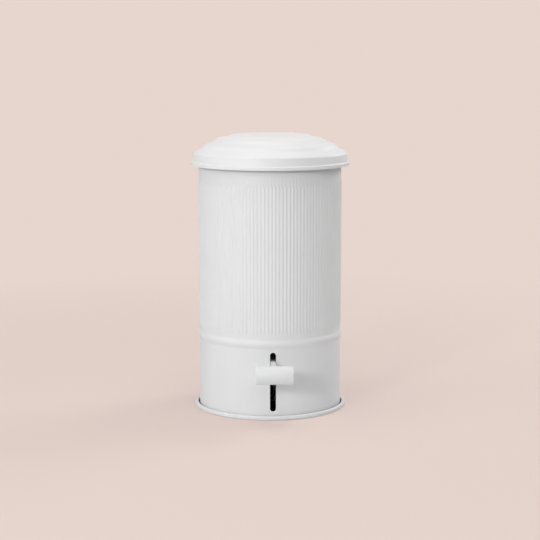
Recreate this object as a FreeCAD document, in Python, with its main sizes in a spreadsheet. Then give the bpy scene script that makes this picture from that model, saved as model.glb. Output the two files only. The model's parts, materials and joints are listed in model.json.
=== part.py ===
import FreeCAD, Part

# A free-standing pedal bin: ribbed steel barrel, stepped lid, foot pedal, push rod and lift-out bucket.
# Millimetres. The origin is on the barrel's axis at the floor, +Z is up and the pedal faces -Y.
import math
import os
import re

import Sketcher

SIZES = (
    # Barrel of painted steel sheet
    ("barrel_radius", 105.0),
    ("sheet", 0.8),
    ("rim_height", 377.0),
    ("hem_tall", 8.0),
    ("hem_thick", 1.2),
    ("foot_flange", 7.5),
    ("bead_height", 109.6),
    ("bead_tall", 12.0),
    ("bead_proud", 2.0),
    ("rib_count", 126),
    ("rib_foot_gap", 8.4),
    ("rib_top_gap", 40.3),
    ("rib_proud", 0.7),
    ("rib_wide", 3.4),
    ("rib_taper", 2.5),
    ("slot_low", 12.0),
    ("slot_over", 22.7),
    ("slot_wide", 8.6),
    # Base pan with its rolled rim, and the rubber ring it stands on
    ("foot_tall", 2.5),
    ("foot_inset", 9.0),
    ("foot_wide", 14.0),
    ("pan_sheet", 1.0),
    ("pan_groove", 2.2),
    ("pan_rim_wide", 4.6),
    ("pan_rim_tall", 6.0),
    ("pan_rim_lift", 0.3),
    ("pan_rim_round", 2.0),
    ("shelf_sheet", 1.2),
    ("shelf_gap", 0.4),
    ("bumper_tall", 2.4),
    ("bumper_long", 12.0),
    # Lid: drops are counted down from its top, insets inward from its shoulder
    ("lid_rise", 26.3),
    ("shoulder_gap", 7.9),
    ("shoulder_drop", 26.5),
    ("top_inset", 57.9),
    ("tier_a_foot_inset", 50.4),
    ("tier_a_foot_drop", 2.5),
    ("tier_b_edge_inset", 36.1),
    ("tier_b_edge_drop", 5.2),
    ("tier_b_foot_inset", 28.6),
    ("tier_b_foot_drop", 10.3),
    ("tier_c_edge_inset", 17.1),
    ("tier_c_edge_drop", 14.3),
    ("tier_c_foot_inset", 13.3),
    ("tier_c_foot_drop", 18.7),
    ("skirt_run", 1.7),
    ("skirt_fall", 11.8),
    ("flange_run", 2.4),
    ("flange_fall", 0.5),
    ("flange_tall", 5.0),
    ("tier_round", 5.0),
    ("shoulder_round", 4.0),
    ("crease_round", 0.6),
    ("flange_round", 1.4),
    # Hinge behind the barrel and the crank that the push rod lifts
    ("hinge_drop", 24.0),
    ("hinge_stand", 7.0),
    ("rod_inset", 10.2),
    ("half_stroke", 12.5),
    ("hinge_pin_radius", 2.5),
    ("knuckle_radius", 4.5),
    ("knuckle_long", 26.0),
    ("knuckle_play", 0.4),
    ("finger_thick", 2.5),
    ("finger_half", 5.2),
    ("finger_end", 2.6),
    ("neck_half", 3.8),
    ("arm_sheet", 1.5),
    ("arm_plate_low", 10.2),
    ("arm_plate_high", 3.0),
    ("arm_plate_angle", 16.0),
    ("ear_thick", 2.0),
    ("ear_radius", 5.5),
    ("bracket_sheet", 1.5),
    ("bracket_half", 26.0),
    ("bracket_below", 14.5),
    ("bracket_tall", 21.0),
    ("window_wide", 8.0),
    ("window_half", 13.5),
    # Pedal, lever and fulcrum
    ("pedal_out", 48.0),
    ("pedal_height", 75.5),
    ("pedal_radius", 13.0),
    ("pedal_long", 52.0),
    ("pedal_wall", 1.5),
    ("cap_thick", 3.0),
    ("cap_plug", 6.0),
    ("cap_round", 0.6),
    ("axle_radius", 3.0),
    ("fulcrum_back", 15.0),
    ("lever_wide", 7.4),
    ("lever_sheet", 1.5),
    ("lever_tall", 20.0),
    ("nose_tall", 14.0),
    ("nose_overrun", 6.0),
    ("nose_clear", 2.0),
    ("tail_tall", 13.0),
    ("tail_overrun", 7.0),
    ("washer_thick", 1.2),
    ("washer_radius", 6.5),
    ("cheek_thick", 2.0),
    ("cheek_half", 9.0),
    ("bracket_base_half", 17.0),
    ("pin_head_over", 2.0),
    ("pin_head_tall", 2.0),
    ("clip_thick", 1.0),
    ("pin_end_over", 0.6),
    # Push rod and its two guides
    ("rod_radius", 2.0),
    ("rod_side", 8.0),
    ("rod_bend", 4.0),
    ("hook_over", 4.0),
    ("rod_cap_radius", 4.0),
    ("rod_cap_thick", 1.2),
    ("guide_rise", 42.9),
    ("guide_drop", 50.0),
    ("guide_sheet", 1.5),
    ("guide_foot_tall", 14.0),
    ("guide_half", 7.0),
    ("guide_lip", 3.5),
    ("rod_hole_radius", 6.0),
    # Lift-out bucket and its bail
    ("bucket_forward", 8.0),
    ("bucket_drop", 52.0),
    ("bucket_gap", 5.2),
    ("bucket_draft", 7.0),
    ("bucket_rim", 3.0),
    ("bucket_rim_tall", 5.0),
    ("bucket_wall", 1.8),
    ("lug_thick", 5.0),
    ("lug_half", 7.0),
    ("lug_drop", 12.0),
    ("bail_radius", 2.0),
    ("bail_set_back", 5.0),
    ("bail_bend", 4.0),
    ("bail_side_gap", 0.5),
    ("bail_pin_long", 7.0),
    ("grip_radius", 5.5),
    ("grip_half_angle", 20.0),
    # Rivets and clearances
    ("rivet_radius", 1.5),
    ("rivet_head_radius", 3.0),
    ("rivet_head_tall", 1.2),
    ("rivet_tail_tall", 0.8),
    ("running_gap", 0.05),
    ("rest_gap", 0.3),
    ("link_gap", 0.3),
)

# Places and radii that follow from those sizes
PLACES = {
    "inner_radius": "barrel_radius - sheet",
    "pan_top": "foot_tall + pan_sheet",
    "foot_outer": "barrel_radius - foot_inset",
    "rib_low": "bead_height + bead_tall / 2 + rib_foot_gap",
    "rib_high": "rim_height - rib_top_gap",
    "shelf_top": "bead_height + shelf_sheet / 2",
    "shoulder_radius": "barrel_radius + shoulder_gap",
    "lid_top": "rim_height + lid_rise",
    "shoulder_height": "lid_top - shoulder_drop",
    "hinge_height": "rim_height - hinge_drop",
    "hinge_back": "barrel_radius + hinge_stand",
    "hinge_reach": "knuckle_long / 2 + knuckle_play + ear_thick",
    "bracket_low": "hinge_height - bracket_below",
    "rod_back": "inner_radius - rod_inset",
    "crank_reach": "hinge_back - rod_back",
    "crank_height": "hinge_height - half_stroke",
    "tail_height": "pedal_height - half_stroke",
    "pedal_reach": "barrel_radius + pedal_out",
    "slot_high": "pedal_height + slot_over",
    "guide_low": "bead_height + guide_rise",
    "guide_high": "hinge_height - guide_drop",
    "bucket_back": "-bucket_forward",
    "bucket_top": "rim_height - bucket_drop",
    "bucket_rim_radius": "inner_radius - bucket_forward - bucket_gap",
    "bucket_mouth_radius": "bucket_rim_radius - bucket_rim",
    "bucket_foot_radius": "bucket_mouth_radius - bucket_draft",
    "bail_height": "bucket_top + grip_radius + rest_gap",
    "bail_reach": "bucket_rim_radius - bail_set_back",
    # A flat rivet tail stands off a hollow wall by this much, so that only its edge touches
    "tail_seat": "rivet_head_radius ^ 2 / (2 * inner_radius) + running_gap / 2",
}

NAMES = {name for name, _ in SIZES}

doc = FreeCAD.newDocument("pedal_bin")
sheet = doc.addObject("Spreadsheet::Sheet", "Sizes")
for row, (name, value) in enumerate(SIZES, start=1):
    sheet.set(f"A{row}", name)
    sheet.set(f"B{row}", str(value))
    sheet.setAlias(f"B{row}", name)
doc.recompute()

nodes = []


def expression(text):
    """Writes the sheet's name before each of its aliases, and spells out the places."""

    def spelled(found):
        word = found[0]
        if word in PLACES:
            return f"({expression(PLACES[word])})"
        return f"Sizes.{word}" if word in NAMES else word

    return re.sub(r"[a-z]\w+", spelled, text)


def number(text):
    return float(sheet.evalExpression(expression(text)))


def bind(thing, name, text):
    thing.setExpression(name, expression(text))


def place(thing, at):
    for axis, text in zip("xyz", at):
        bind(thing, f"Placement.Base.{axis}", text)


def keep(label, thing):
    """Makes a finished object one of the bin's sub-parts."""
    thing.Label = label
    nodes.append(thing)
    return thing


# Part primitives and booleans, all bound to the sheet

TURNS = {
    "x": FreeCAD.Rotation(FreeCAD.Vector(0, 1, 0), 90),
    "y": FreeCAD.Rotation(FreeCAD.Vector(1, 0, 0), -90),
    "z": FreeCAD.Rotation(),
}


def cylinder(name, radius, height, at, along="z"):
    thing = doc.addObject("Part::Cylinder", name)
    thing.Placement = FreeCAD.Placement(FreeCAD.Vector(), TURNS[along])
    bind(thing, "Radius", radius)
    bind(thing, "Height", height)
    place(thing, at)
    return thing


def block(name, lengths, at):
    thing = doc.addObject("Part::Box", name)
    for side, text in zip(("Length", "Width", "Height"), lengths):
        bind(thing, side, text)
    place(thing, at)
    return thing


def torus(name, ring, tube, height):
    thing = doc.addObject("Part::Torus", name)
    bind(thing, "Radius1", ring)
    bind(thing, "Radius2", tube)
    place(thing, ("0", "0", height))
    return thing


def fuse(name, parts):
    thing = doc.addObject("Part::MultiFuse", name)
    thing.Shapes = parts
    return thing


def overlap(name, parts):
    thing = doc.addObject("Part::MultiCommon", name)
    thing.Shapes = parts
    return thing


def cut(name, base, tool):
    thing = doc.addObject("Part::Cut", name)
    thing.Base = base
    thing.Tool = tool
    return thing


def pipe(name, outer, inner, height, at, along="z"):
    """A plain tube or ring."""
    whole = cylinder(f"{name}_outer", outer, height, at, along)
    hollow = cylinder(f"{name}_inner", inner, height, at, along)
    return cut(name, whole, hollow)


def shaped(name, shape):
    thing = doc.addObject("Part::Feature", name)
    thing.Shape = shape
    return thing


# PartDesign bodies, with sketches whose points are bound to the sheet


def new_body(name):
    return doc.addObject("PartDesign::Body", name)


def new_sketch(body, role, name):
    plane = next(plane for plane in body.Origin.OriginFeatures if plane.Role == role)
    sketch = body.newObject("Sketcher::SketchObject", name)
    sketch.AttachmentSupport = [(plane, "")]
    sketch.MapMode = "FlatFace"
    return sketch


def pin_point(sketch, geometry, end, point):
    """Fixes one sketch point by its two coordinates."""
    kinds = (("DistanceX", -2), ("DistanceY", -1))
    for text, (kind, axis) in zip(point, kinds):
        if text == "0":
            sketch.addConstraint(Sketcher.Constraint("PointOnObject", geometry, end, axis))
            continue
        index = sketch.addConstraint(Sketcher.Constraint(kind, -1, 1, geometry, end, number(text)))
        bind(sketch, f"Constraints[{index}]", text)


def outline(body, role, name, points):
    sketch = new_sketch(body, role, name)
    corners = [FreeCAD.Vector(number(x), number(y), 0) for x, y in points]
    count = len(corners)
    for i in range(count):
        sketch.addGeometry(Part.LineSegment(corners[i], corners[(i + 1) % count]))
    for i in range(count):
        sketch.addConstraint(Sketcher.Constraint("Coincident", i, 2, (i + 1) % count, 1))
    for i, point in enumerate(points):
        pin_point(sketch, i, 1, point)
    return sketch


def ring_outline(body, role, name, centre, radius):
    sketch = new_sketch(body, role, name)
    middle = FreeCAD.Vector(number(centre[0]), number(centre[1]), 0)
    sketch.addGeometry(Part.Circle(middle, FreeCAD.Vector(0, 0, 1), number(radius)))
    pin_point(sketch, 0, 3, centre)
    index = sketch.addConstraint(Sketcher.Constraint("Radius", 0, number(radius)))
    bind(sketch, f"Constraints[{index}]", radius)
    return sketch


def revolve(body, sketch, axis="V_Axis", angle=None):
    feature = body.newObject("PartDesign::Revolution", f"{sketch.Name}_turned")
    feature.Profile = sketch
    feature.ReferenceAxis = (sketch, [axis])
    feature.Angle = 360
    if angle:
        bind(feature, "Angle", angle)
        feature.Midplane = True
    return feature


def extrude(body, sketch, width, kind="Pad"):
    """A pad or pocket, half of it on each side of the sketch."""
    feature = body.newObject(f"PartDesign::{kind}", f"{sketch.Name}_{kind.lower()}")
    feature.Profile = sketch
    feature.SideType = "Symmetric"
    bind(feature, "Length", width)
    return feature


def ring_edges(feature, rings):
    """Names the feature's round edges about the axis that have these radii and heights."""
    wanted = [(number(radius), number(height)) for radius, height in rings]
    near = 1e-4
    found = []
    for index, edge in enumerate(feature.Shape.Edges, start=1):
        if not isinstance(edge.Curve, Part.Circle):
            continue
        centre = edge.Curve.Center
        for radius, height in wanted:
            if abs(edge.Curve.Radius - radius) < near and abs(centre.z - height) < near:
                found.append(f"Edge{index}")
    return found


def fillet(body, feature, rings, radius):
    doc.recompute()
    rounded = body.newObject("PartDesign::Fillet", f"{feature.Name}_rounded")
    rounded.Base = (feature, ring_edges(feature, rings))
    bind(rounded, "Radius", radius)
    doc.recompute()
    return rounded


# Rivets are dome-headed and stand square to the sheets that they hold

UP = FreeCAD.Vector(0, 0, 1)


def rivet(foot, out, grip):
    """One rivet: foot is on the outer sheet's face, out points to its head."""
    shank = number("rivet_radius")
    head = number("rivet_head_radius")
    tall = number("rivet_head_tall")
    low = -grip - number("rivet_tail_tall")
    dome_radius = (head ** 2 + tall ** 2) / (2 * tall)
    half_way = head / 2
    dome_height = tall - dome_radius + math.sqrt(dome_radius ** 2 - half_way ** 2)
    steps = [(0, tall), (0, low), (head, low), (head, -grip), (shank, -grip), (shank, 0), (head, 0)]
    points = [FreeCAD.Vector(x, 0, z) for x, z in steps]
    edges = [Part.LineSegment(a, b).toShape() for a, b in zip(points, points[1:])]
    edges.append(Part.Arc(points[-1], FreeCAD.Vector(half_way, 0, dome_height), points[0]).toShape())
    solid = Part.Face(Part.Wire(edges)).revolve(FreeCAD.Vector(), UP, 360)
    solid.Placement = FreeCAD.Placement(foot, FreeCAD.Rotation(UP, out))
    return solid


def rivet_group(label, spots):
    shapes = [rivet(foot, out, grip) for foot, out, grip in spots]
    return keep(label, shaped(label, Part.makeCompound(shapes)))


def drills(name, spots):
    """Cylinders that cut the rivets' holes through every sheet they pass."""
    radius = number("rivet_radius + running_gap")
    past = number("rivet_tail_tall / 2")
    holes = []
    for foot, out, grip in spots:
        holes.append(Part.makeCylinder(radius, grip + 2 * past, foot + out * past, -out))
    return shaped(name, Part.makeCompound(holes))


def around(angle, radius, height):
    """A point at an angle from the pedal's side, and the direction outward there."""
    turn = math.radians(angle)
    out = FreeCAD.Vector(math.sin(turn), -math.cos(turn), 0)
    return out * radius + FreeCAD.Vector(0, 0, height), out


BACK = 180

# Rivet places, used by the rivets and by the holes they fill


def base_rivet_spots():
    count = 6
    radius = number("barrel_radius - sheet - foot_flange / 2 + rivet_radius / 3")
    head_seat = number("pan_top + sheet")
    grip = number("pan_sheet + sheet")
    step = 360 / count
    spots = []
    for k in range(count):
        foot, _ = around(step * (k + 0.5), radius, head_seat)
        spots.append((foot, UP, grip))
    return spots


def fulcrum_rivet_spots():
    side = number("bracket_base_half - rivet_head_radius - cheek_thick / 2")
    along = number("cheek_half + rivet_head_radius / 2")
    head_seat = number("pan_top + cheek_thick")
    grip = number("pan_sheet + cheek_thick")
    back = number("fulcrum_back")
    spots = []
    for x in (-side, side):
        for y in (back - along, back + along):
            spots.append((FreeCAD.Vector(x, y, head_seat), UP, grip))
    return spots


def hinge_rivet_spots():
    reach = number("bracket_half - rivet_head_radius * 2")
    radius = number("barrel_radius + bracket_sheet")
    angle = math.degrees(math.asin(reach / radius))
    low = number("bracket_low + rivet_head_radius * 1.5")
    high = number("bracket_low + bracket_tall - rivet_head_radius * 1.5")
    grip = number("sheet + bracket_sheet + tail_seat")
    spots = []
    for turn in (BACK - angle, BACK + angle):
        for height in (low, high):
            foot, out = around(turn, radius, height)
            spots.append((foot, out, grip))
    return spots


def arm_rivet_spots():
    angle = number("arm_plate_angle / 3")
    along = number("(arm_plate_low + arm_plate_high) / 2")
    run, fall = number("skirt_run"), number("skirt_fall")
    slant = math.hypot(run, fall)
    radius = number("shoulder_radius") + along * run / slant
    height = number("shoulder_height") - along * fall / slant
    grip = number("sheet + arm_sheet + tail_seat")
    spots = []
    for turn in (BACK - angle, BACK + angle):
        foot, level = around(turn, radius, height)
        out = level * (fall / slant) + UP * (run / slant)
        spots.append((foot, out, grip))
    return spots


# Barrel


def rib_ring(height, proud):
    """One level of the ribbed wall: a crest and a plain gap for each rib."""
    radius = number("barrel_radius")
    count = int(number("rib_count"))
    half = number("rib_wide") / 2 / radius
    step = 2 * math.pi / count

    def at(distance, angle):
        return FreeCAD.Vector(distance * math.cos(angle), distance * math.sin(angle), height)

    edges = []
    for k in range(count):
        crest = step * k
        following = crest + step
        start, end = crest - half, crest + half
        edges.append(Part.Arc(at(radius, start), at(radius + proud, crest), at(radius, end)).toShape())
        middle = (end + following - half) / 2
        edges.append(Part.Arc(at(radius, end), at(radius, middle), at(radius, following - half)).toShape())
    return Part.Wire(edges)


def ribbed_wall():
    low, high = number("rib_low"), number("rib_high")
    taper, proud = number("rib_taper"), number("rib_proud")
    levels = ((low, 0), (low + taper, proud), (high - taper, proud), (high, 0))
    rings = [rib_ring(height, lift) for height, lift in levels]
    filled = Part.makeLoft(rings, True, True)
    hollow = Part.makeCylinder(number("inner_radius"), high - low, FreeCAD.Vector(0, 0, low))
    return shaped("ribbed_wall", filled.cut(hollow))


def bead(name, tube_change):
    """The rolled bead is the outer edge of a large torus."""
    tube = "((bead_tall ^ 2 / 4 + bead_proud ^ 2) / (2 * bead_proud))"
    ring = f"barrel_radius + bead_proud - {tube}"
    return torus(name, ring, f"{tube} - {tube_change}", "bead_height")


def make_barrel():
    lower_tall = "rib_low - pan_top"
    at_floor = ("0", "0", "pan_top")
    skin = fuse("band_skin", [
        cylinder("band_outer", "barrel_radius", lower_tall, at_floor),
        bead("bead_outer", "0"),
    ])
    hollow = fuse("band_hollow", [
        cylinder("band_inner", "inner_radius", f"{lower_tall} + bead_tall", ("0", "0", "pan_top + sheet")),
        bead("bead_inner", "sheet"),
        cylinder("foot_opening", "inner_radius - foot_flange", "sheet * 2", at_floor),
    ])
    band = cut("lower_band", skin, hollow)
    neck = pipe("upper_neck", "barrel_radius", "inner_radius", "rim_height - rib_high",
                ("0", "0", "rib_high"))
    hem = pipe("rim_hem", "barrel_radius + hem_thick", "inner_radius", "hem_tall",
               ("0", "0", "rim_height - hem_tall"))
    wall = fuse("barrel_wall", [band, ribbed_wall(), neck, hem])
    depth = "foot_flange * 2"
    front = f"-barrel_radius - {depth} / 2"
    straight = "slot_high - slot_low - slot_wide"
    slot = [
        block("slot_middle", ("slot_wide", depth, straight),
              ("-slot_wide / 2", front, "slot_low + slot_wide / 2")),
        cylinder("slot_foot", "slot_wide / 2", depth, ("0", front, "slot_low + slot_wide / 2"), "y"),
        cylinder("slot_head", "slot_wide / 2", depth, ("0", front, "slot_high - slot_wide / 2"), "y"),
    ]
    window = block("crank_window", ("window_wide", depth, "window_half * 2"),
                   ("-window_wide / 2", f"barrel_radius - {depth} / 2", "hinge_height - window_half"))
    holes = drills("barrel_holes", base_rivet_spots() + hinge_rivet_spots())
    keep("barrel_shell", cut("barrel_shell", wall, fuse("barrel_openings", slot + [window, holes])))


# Base pan, foot ring, shelf and rim bumpers


def make_base():
    inner = "barrel_radius + pan_groove"
    outer = f"{inner} + pan_rim_wide"
    low, high = "pan_rim_lift", "pan_rim_lift + pan_rim_tall"
    body = new_body("pan_pressing")
    section = outline(body, "XZ_Plane", "pan_section", [
        ("0", "foot_tall"), (inner, "foot_tall"), (inner, low), (outer, low),
        (outer, high), (inner, high), (inner, "pan_top"), ("0", "pan_top"),
    ])
    turned = revolve(body, section)
    fillet(body, turned, [(outer, low), (outer, high), (inner, high)], "pan_rim_round")
    holes = drills("pan_holes", base_rivet_spots() + fulcrum_rivet_spots())
    keep("base_pan", cut("base_pan", body, holes))
    keep("foot_ring", pipe("foot_ring", "foot_outer", "foot_outer - foot_wide", "foot_tall", ("0", "0", "0")))
    rivet_group("base_rivets", base_rivet_spots())


def make_shelf():
    radius = "inner_radius + bead_proud - shelf_gap"
    low = "bead_height - shelf_sheet / 2"
    plate = cylinder("shelf_plate", radius, "shelf_sheet", ("0", "0", low))
    hole = cylinder("shelf_hole", "rod_hole_radius", "shelf_sheet", ("rod_side", "rod_back", low))
    keep("bucket_shelf", cut("bucket_shelf", plate, hole))


def make_bumpers():
    """Rubber pads on the rim, where the closed lid comes down."""
    angles = (-120, 0, 120)
    ring = pipe("bumper_ring", "barrel_radius + hem_thick", "inner_radius", "bumper_tall",
                ("0", "0", "rim_height"))
    pads = []
    for k, angle in enumerate(angles):
        gate = block(f"bumper_gate_{k}", ("bumper_long", "barrel_radius * 2", "bumper_tall * 3"),
                     ("0", "0", "rim_height - bumper_tall"))
        start, out = around(angle, 0, 0)
        gate.Placement.Rotation = FreeCAD.Rotation(UP, angle + BACK)
        side = FreeCAD.Vector(out.y, -out.x, 0)
        for axis in "xy":
            bind(gate, f"Placement.Base.{axis}", f"{getattr(side, axis)} * -bumper_long / 2")
        pads.append(overlap(f"bumper_{k}", [ring, gate]))
    group = doc.addObject("Part::Compound", "rim_bumpers")
    group.Links = pads
    keep("rim_bumpers", group)


# Lid


def lid_corner(inset, drop):
    return (f"shoulder_radius - {inset}", f"lid_top - {drop}")


def make_lid():
    top_edge = lid_corner("top_inset", "0")
    tiers = [
        lid_corner("tier_a_foot_inset", "tier_a_foot_drop"),
        lid_corner("tier_b_edge_inset", "tier_b_edge_drop"),
        lid_corner("tier_b_foot_inset", "tier_b_foot_drop"),
        lid_corner("tier_c_edge_inset", "tier_c_edge_drop"),
        lid_corner("tier_c_foot_inset", "tier_c_foot_drop"),
    ]
    shoulder = ("shoulder_radius", "shoulder_height")
    skirt_foot = ("shoulder_radius + skirt_run", "shoulder_height - skirt_fall")
    flange_edge = (f"{skirt_foot[0]} + flange_run", f"{skirt_foot[1]} - flange_fall")
    flange_low = f"{flange_edge[1]} - flange_tall"
    body = new_body("lid_pressing")
    profile = [("0", "lid_top"), top_edge, *tiers, shoulder, skirt_foot, flange_edge]
    profile += [(flange_edge[0], flange_low), ("0", flange_low)]
    turned = revolve(body, outline(body, "XZ_Plane", "lid_section", profile))
    rounded = fillet(body, turned, [top_edge, *tiers], "tier_round")
    rounded = fillet(body, rounded, [shoulder], "shoulder_round")
    rounded = fillet(body, rounded, [skirt_foot], "crease_round")
    rounded = fillet(body, rounded, [flange_edge], "flange_round")
    lowest = number(flange_low)
    faces = enumerate(rounded.Shape.Faces, start=1)
    bottom = next(f"Face{i}" for i, face in faces if abs(face.BoundBox.ZMax - lowest) < 1e-4)
    hollow = body.newObject("PartDesign::Thickness", "lid_hollow")
    hollow.Base = (rounded, [bottom])
    hollow.Reversed = True
    bind(hollow, "Value", "sheet")
    doc.recompute()
    keep("lid_shell", cut("lid_shell", body, drills("lid_holes", arm_rivet_spots())))
    rivet_group("lid_arm_rivets", arm_rivet_spots())


def on_skirt(along, inward):
    """A point at the back of the lid's skirt, down its slope and in from its outer face."""
    slant = "sqrt(skirt_run ^ 2 + skirt_fall ^ 2)"
    back = f"shoulder_radius + (({along}) * skirt_run - ({inward}) * skirt_fall) / {slant}"
    height = f"shoulder_height - (({along}) * skirt_fall + ({inward}) * skirt_run) / {slant}"
    return (back, height)


def on_crank(along, across):
    """A point on the crank finger, out from the hinge axis and across the finger."""
    length = "sqrt(crank_reach ^ 2 + half_stroke ^ 2)"
    back = f"hinge_back - (({along}) * crank_reach - ({across}) * half_stroke) / {length}"
    height = f"hinge_height - (({along}) * half_stroke + ({across}) * crank_reach) / {length}"
    return (back, height)


def make_hinge_arm():
    inner_face = "sheet"
    mid_plate = "sheet + arm_sheet / 2"
    back_face = "sheet + arm_sheet"
    longest = "sqrt(crank_reach ^ 2 + half_stroke ^ 2)"
    slot_far = f"{longest} + rod_radius + link_gap * 2"
    slot_near = "crank_reach - rod_radius - link_gap * 2"
    # The rod rises evenly while the crank turns, so the slot allows for the most they differ
    drift = "(crank_reach * (half_stroke / crank_reach) ^ 3 / 9)"
    slot_half = f"rod_radius + {drift} + link_gap"
    tip = f"{slot_far} + finger_end"
    plate = new_body("arm_mounting")
    section = outline(plate, "YZ_Plane", "arm_plate", [
        on_skirt("arm_plate_high", inner_face), on_skirt("arm_plate_low", inner_face),
        on_skirt("arm_plate_low", back_face), on_skirt("arm_plate_high", back_face),
    ])
    revolve(plate, section, angle="arm_plate_angle")
    body = new_body("arm_crank")
    blade = outline(body, "YZ_Plane", "arm_blade", [
        on_skirt("arm_plate_high", mid_plate), on_crank("0", "-finger_half"),
        on_crank(tip, "-finger_half"), on_crank(tip, "finger_half"), on_crank("0", "finger_half"),
        ("hinge_back + neck_half", "hinge_height"), on_skirt("arm_plate_low", mid_plate),
    ])
    extrude(body, blade, "finger_thick")
    axis = ("hinge_back", "hinge_height")
    extrude(body, ring_outline(body, "YZ_Plane", "arm_knuckle", axis, "knuckle_radius"), "knuckle_long")
    slot = outline(body, "YZ_Plane", "crank_slot", [
        on_crank(slot_near, f"-({slot_half})"), on_crank(slot_far, f"-({slot_half})"),
        on_crank(slot_far, slot_half), on_crank(slot_near, slot_half),
    ])
    extrude(body, slot, "finger_thick * 2", "Pocket")
    bore = ring_outline(body, "YZ_Plane", "knuckle_bore", axis, "hinge_pin_radius + running_gap")
    extrude(body, bore, "knuckle_long * 2", "Pocket")
    holes = drills("arm_holes", arm_rivet_spots())
    keep("lid_hinge_arm", cut("lid_hinge_arm", fuse("hinge_arm_solid", [plate, body]), holes))


# Hinge bracket, its pin and clip


def make_hinge_bracket():
    level = ("0", "0", "bracket_low")
    ring = pipe("hinge_plate_ring", "barrel_radius + bracket_sheet", "barrel_radius + running_gap",
                "bracket_tall", level)
    gate = block("hinge_plate_gate", ("bracket_half * 2", "barrel_radius * 2", "bracket_tall"),
                 ("-bracket_half", "0", "bracket_low"))
    pieces = [overlap("hinge_plate", [ring, gate])]
    ear_start = "knuckle_long / 2 + knuckle_play"
    root = f"sqrt(barrel_radius ^ 2 - ({ear_start}) ^ 2) + bracket_sheet / 3"
    for side, low in (("left", f"-({ear_start}) - ear_thick"), ("right", ear_start)):
        pieces.append(block(f"ear_{side}_web", ("ear_thick", f"hinge_back - ({root})", "ear_radius * 2"),
                            (low, root, "hinge_height - ear_radius")))
        pieces.append(cylinder(f"ear_{side}_eye", "ear_radius", "ear_thick",
                               (low, "hinge_back", "hinge_height"), "x"))
    across = "bracket_half * 2"
    openings = [
        cylinder("ear_bore", "hinge_pin_radius + running_gap", across,
                 ("-bracket_half", "hinge_back", "hinge_height"), "x"),
        block("plate_window", ("window_wide", "foot_flange * 2", "bracket_tall"),
              ("-window_wide / 2", "barrel_radius - foot_flange", "hinge_height - window_half")),
        drills("bracket_holes", hinge_rivet_spots()),
    ]
    solid = fuse("hinge_bracket_solid", pieces)
    keep("hinge_bracket", cut("hinge_bracket", solid, fuse("hinge_bracket_openings", openings)))
    rivet_group("hinge_bracket_rivets", hinge_rivet_spots())


def headed_pin(label, clip_label, radius, reach, back, height):
    """A pin along X with a head at its right end and a push-on clip at its left."""
    past = "clip_thick + pin_end_over"
    shank = cylinder(f"{label}_shank", radius, f"({reach}) * 2 + {past} + running_gap",
                     (f"-({reach}) - ({past})", back, height), "x")
    head = cylinder(f"{label}_head", f"{radius} + pin_head_over", "pin_head_tall",
                    (f"{reach} + running_gap", back, height), "x")
    keep(label, fuse(label, [shank, head]))
    clip = pipe(clip_label, f"{radius} + pin_head_over", f"{radius} + running_gap / 2", "clip_thick",
                (f"-({reach}) - clip_thick - running_gap", back, height), "x")
    keep(clip_label, clip)


# Pedal, lever and fulcrum


def make_lever():
    nose = "-(pedal_reach + nose_overrun)"
    nose_end = "-(pedal_reach - pedal_radius - nose_clear)"
    throat = "-(barrel_radius + pan_groove * 2)"
    knee = "fulcrum_back - lever_tall"
    tail = "rod_back + tail_overrun"
    mid, half = "pedal_height", "lever_tall / 2"
    top = [
        (nose, f"{mid} + nose_tall / 2"), (nose_end, f"{mid} + nose_tall / 2"),
        (throat, f"{mid} + {half}"), (knee, f"{mid} + {half}"), (tail, "tail_height + tail_tall / 2"),
    ]
    foot = [
        (tail, "tail_height - tail_tall / 2"), (knee, f"{mid} - {half}"),
        (throat, f"{mid} - {half}"), (nose_end, f"{mid} - nose_tall / 2"), (nose, f"{mid} - nose_tall / 2"),
    ]
    below = "tail_height - lever_tall"
    roof = [(back, f"{height} - lever_sheet") for back, height in top]
    roof[0] = (f"{nose} - lever_sheet", roof[0][1])
    roof[-1] = (f"{tail} + lever_sheet", roof[-1][1])
    body = new_body("pedal_lever")
    extrude(body, outline(body, "YZ_Plane", "lever_side", top + foot), "lever_wide")
    channel = outline(body, "YZ_Plane", "lever_channel", roof + [(roof[-1][0], below), (roof[0][0], below)])
    extrude(body, channel, "lever_wide - lever_sheet * 2", "Pocket")
    bore = "axle_radius + running_gap"
    pivots = (("fulcrum_eye", "fulcrum_back"), ("pedal_eye", "-pedal_reach"))
    for name, back in pivots:
        eye = ring_outline(body, "YZ_Plane", name, (back, "pedal_height"), bore)
        extrude(body, eye, "lever_wide * 2", "Pocket")
    # The tail swings on an arc while the rod rises straight, so its hole is a little long and tall
    arm = "(rod_back - fulcrum_back)"
    swing = f"(sqrt({arm} ^ 2 + half_stroke ^ 2) - {arm})"
    slot_long = f"rod_radius + {swing} + link_gap * 2"
    slot_tall = "rod_radius + link_gap * 2"
    slot = outline(body, "YZ_Plane", "rod_slot", [
        (f"rod_back - ({slot_long})", f"tail_height - ({slot_tall})"),
        (f"rod_back + {slot_long}", f"tail_height - ({slot_tall})"),
        (f"rod_back + {slot_long}", f"tail_height + {slot_tall}"),
        (f"rod_back - ({slot_long})", f"tail_height + {slot_tall}"),
    ])
    extrude(body, slot, "lever_wide * 2", "Pocket")
    keep("pedal_lever", body)


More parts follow.
